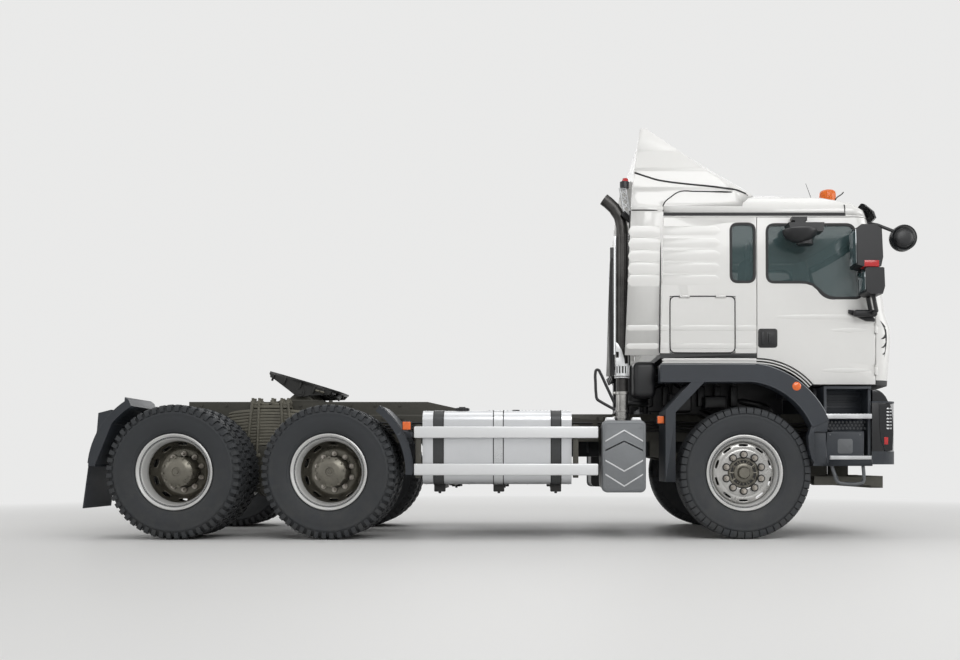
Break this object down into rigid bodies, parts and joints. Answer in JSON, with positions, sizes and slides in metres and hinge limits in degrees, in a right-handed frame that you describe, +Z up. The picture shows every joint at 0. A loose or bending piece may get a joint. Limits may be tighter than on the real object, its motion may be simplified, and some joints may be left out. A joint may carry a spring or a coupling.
{
  "type": "road tractor truck",
  "caption": "Three-axle road tractor with a tilting sleeper cab, roof wind deflector, fifth wheel coupling, leaf-sprung twin-tyred bogie, side tanks and vertical exhaust.",
  "frame": {"origin": "on the ground, midway between the ends and the sides of the vehicle", "axes": "+X forwards, +Y to the vehicle's left, +Z up"},
  "size_m": [7.608, 2.8, 3.8077],
  "materials": {
    "frame_paint": "semi-matte dark olive-grey chassis paint",
    "coupling_steel": "painted casting, greased top",
    "spring_steel": "painted leaf steel",
    "cast_engine": "cast and painted",
    "tank_aluminium": "brushed",
    "guard_aluminium": "satin anodised",
    "silencer_cover": "satin grey",
    "exhaust_steel": "heat-stained steel",
    "charcoal_plastic": "fine-grained moulded plastic",
    "black_plastic": "moulded plastic",
    "black_gloss": "smoked gloss",
    "interior_plastic": "grained plastic",
    "seat_fabric": "woven seat cloth",
    "cab_underside": "under-body coating",
    "white_paint": "gloss white coach paint",
    "tinted_glass": "green-tinted safety glass",
    "clear_lens": "clear lamp lens",
    "amber_lens": "amber lamp lens",
    "rim_silver": "silver wheel paint",
    "tyre_rubber": "worn-in rubber"
  },
  "bodies": {
    "chassis": {"frame": "frame_paint", "fifth_wheel_subframe": "frame_paint", "front_axle": "frame_paint", "drive_axles": "frame_paint", "bogie_springs": "spring_steel", "engine_and_gearbox": "cast_engine", "propshafts": "frame_paint", "fuel_tanks": "tank_aluminium", "side_guards": "guard_aluminium", "silencer_box": "silencer_cover", "battery_box": "silencer_cover", "exhaust_stack": "exhaust_steel", "catwalk": "tank_aluminium", "air_tanks": "frame_paint", "rear_mudguards": "black_plastic", "mid_mudguards": "black_plastic", "front_mudguards": "charcoal_plastic", "step_boxes": "charcoal_plastic", "bumper": "charcoal_plastic", "headlamps": "clear_lens", "rear_cab_mount": "frame_paint"},
    "cab": {"cab_body": "white_paint", "cab_floor": "cab_underside", "cab_roof": "white_paint", "cab_glass": "tinted_glass", "wind_deflectors": "white_paint", "sun_visor": "black_gloss", "ramp_mirror": "black_plastic", "beacon": "amber_lens", "cab_interior": "interior_plastic", "seat_cushions": "seat_fabric"},
    "front_flap": {"front_flap": "white_paint"},
    "fifth_wheel": {"fifth_wheel": "coupling_steel"},
    "track_rod": {"track_rod": "frame_paint"},
    "knuckle_left": {"knuckle_left": "frame_paint"},
    "front_wheel_left": {"front_rim_left": "rim_silver", "front_tyre_left": "tyre_rubber"},
    "mid_wheels_left": {"mid_rims_left": "rim_silver", "mid_tyres_left": "tyre_rubber"},
    "rear_wheels_left": {"rear_rims_left": "rim_silver", "rear_tyres_left": "tyre_rubber"},
    "door_left": {"door_left": "white_paint", "door_glass_left": "tinted_glass", "mirrors_left": "black_plastic"},
    "locker_hatch_left": {"locker_hatch_left": "white_paint"},
    "knuckle_right": {"knuckle_right": "frame_paint"},
    "front_wheel_right": {"front_rim_right": "rim_silver", "front_tyre_right": "tyre_rubber"},
    "mid_wheels_right": {"mid_rims_right": "rim_silver", "mid_tyres_right": "tyre_rubber"},
    "rear_wheels_right": {"rear_rims_right": "rim_silver", "rear_tyres_right": "tyre_rubber"},
    "door_right": {"door_right": "white_paint", "door_glass_right": "tinted_glass", "mirrors_right": "black_plastic"},
    "locker_hatch_right": {"locker_hatch_right": "white_paint"}
  },
  "joints": [
    {"name": "steer_left", "type": "hinge", "parent": "chassis", "child": "knuckle_left", "pos_m": [2.19, 0.88, 0.604], "axis": [0, 0, 1], "range_deg": [-40, 40]},
    {"name": "front_wheel_spin_left", "type": "hinge", "parent": "knuckle_left", "child": "front_wheel_left", "pos_m": [2.19, 1.0295, 0.604], "axis": [0, 1, 0], "continuous": true},
    {"name": "mid_wheels_spin_left", "type": "hinge", "parent": "chassis", "child": "mid_wheels_left", "pos_m": [-1.59, 0.9175, 0.613], "axis": [0, 1, 0], "continuous": true},
    {"name": "rear_wheels_spin_left", "type": "hinge", "parent": "chassis", "child": "rear_wheels_left", "pos_m": [-2.99, 0.9175, 0.613], "axis": [0, 1, 0], "continuous": true},
    {"name": "door_swing_left", "type": "hinge", "parent": "cab", "child": "door_left", "pos_m": [3.3945, 1.125, 1.7], "axis": [0, 0, -1], "range_deg": [0, 70]},
    {"name": "locker_hatch_swing_left", "type": "hinge", "parent": "cab", "child": "locker_hatch_left", "pos_m": [1.81, 1.125, 2.2175], "axis": [1, 0, 0], "range_deg": [0, 80]},
    {"name": "steer_right", "type": "hinge", "parent": "chassis", "child": "knuckle_right", "pos_m": [2.19, -0.88, 0.604], "axis": [0, 0, 1], "range_deg": [-40, 40]},
    {"name": "front_wheel_spin_right", "type": "hinge", "parent": "knuckle_right", "child": "front_wheel_right", "pos_m": [2.19, -1.0295, 0.604], "axis": [0, 1, 0], "continuous": true},
    {"name": "mid_wheels_spin_right", "type": "hinge", "parent": "chassis", "child": "mid_wheels_right", "pos_m": [-1.59, -0.9175, 0.613], "axis": [0, 1, 0], "continuous": true},
    {"name": "rear_wheels_spin_right", "type": "hinge", "parent": "chassis", "child": "rear_wheels_right", "pos_m": [-2.99, -0.9175, 0.613], "axis": [0, 1, 0], "continuous": true},
    {"name": "door_swing_right", "type": "hinge", "parent": "cab", "child": "door_right", "pos_m": [3.3945, -1.125, 1.7], "axis": [0, 0, 1], "range_deg": [0, 70]},
    {"name": "locker_hatch_swing_right", "type": "hinge", "parent": "cab", "child": "locker_hatch_right", "pos_m": [1.81, -1.125, 2.2175], "axis": [-1, 0, 0], "range_deg": [0, 80]},
    {"name": "track_rod_turn", "type": "hinge", "parent": "knuckle_left", "child": "track_rod", "pos_m": [1.99, 0.88, 0.534], "axis": [0, 0, 1], "range_deg": [-40, 40]},
    {"name": "cab_tilt", "type": "hinge", "parent": "chassis", "child": "cab", "pos_m": [3.44, 0, 1.312], "axis": [0, 1, 0], "range_deg": [0, 45]},
    {"name": "front_flap_swing", "type": "hinge", "parent": "cab", "child": "front_flap", "pos_m": [3.593, 0, 2.0035], "axis": [0, -1, 0], "range_deg": [0, 75]},
    {"name": "fifth_wheel_pitch", "type": "hinge", "parent": "chassis", "child": "fifth_wheel", "pos_m": [-2.035, 0, 1.396], "axis": [0, -1, 0], "range_deg": [0, 30]}
  ],
  "couplings": [
    {"joint": "steer_right", "follows": "steer_left", "ratio": 1},
    {"joint": "track_rod_turn", "follows": "steer_left", "ratio": -1}
  ]
}
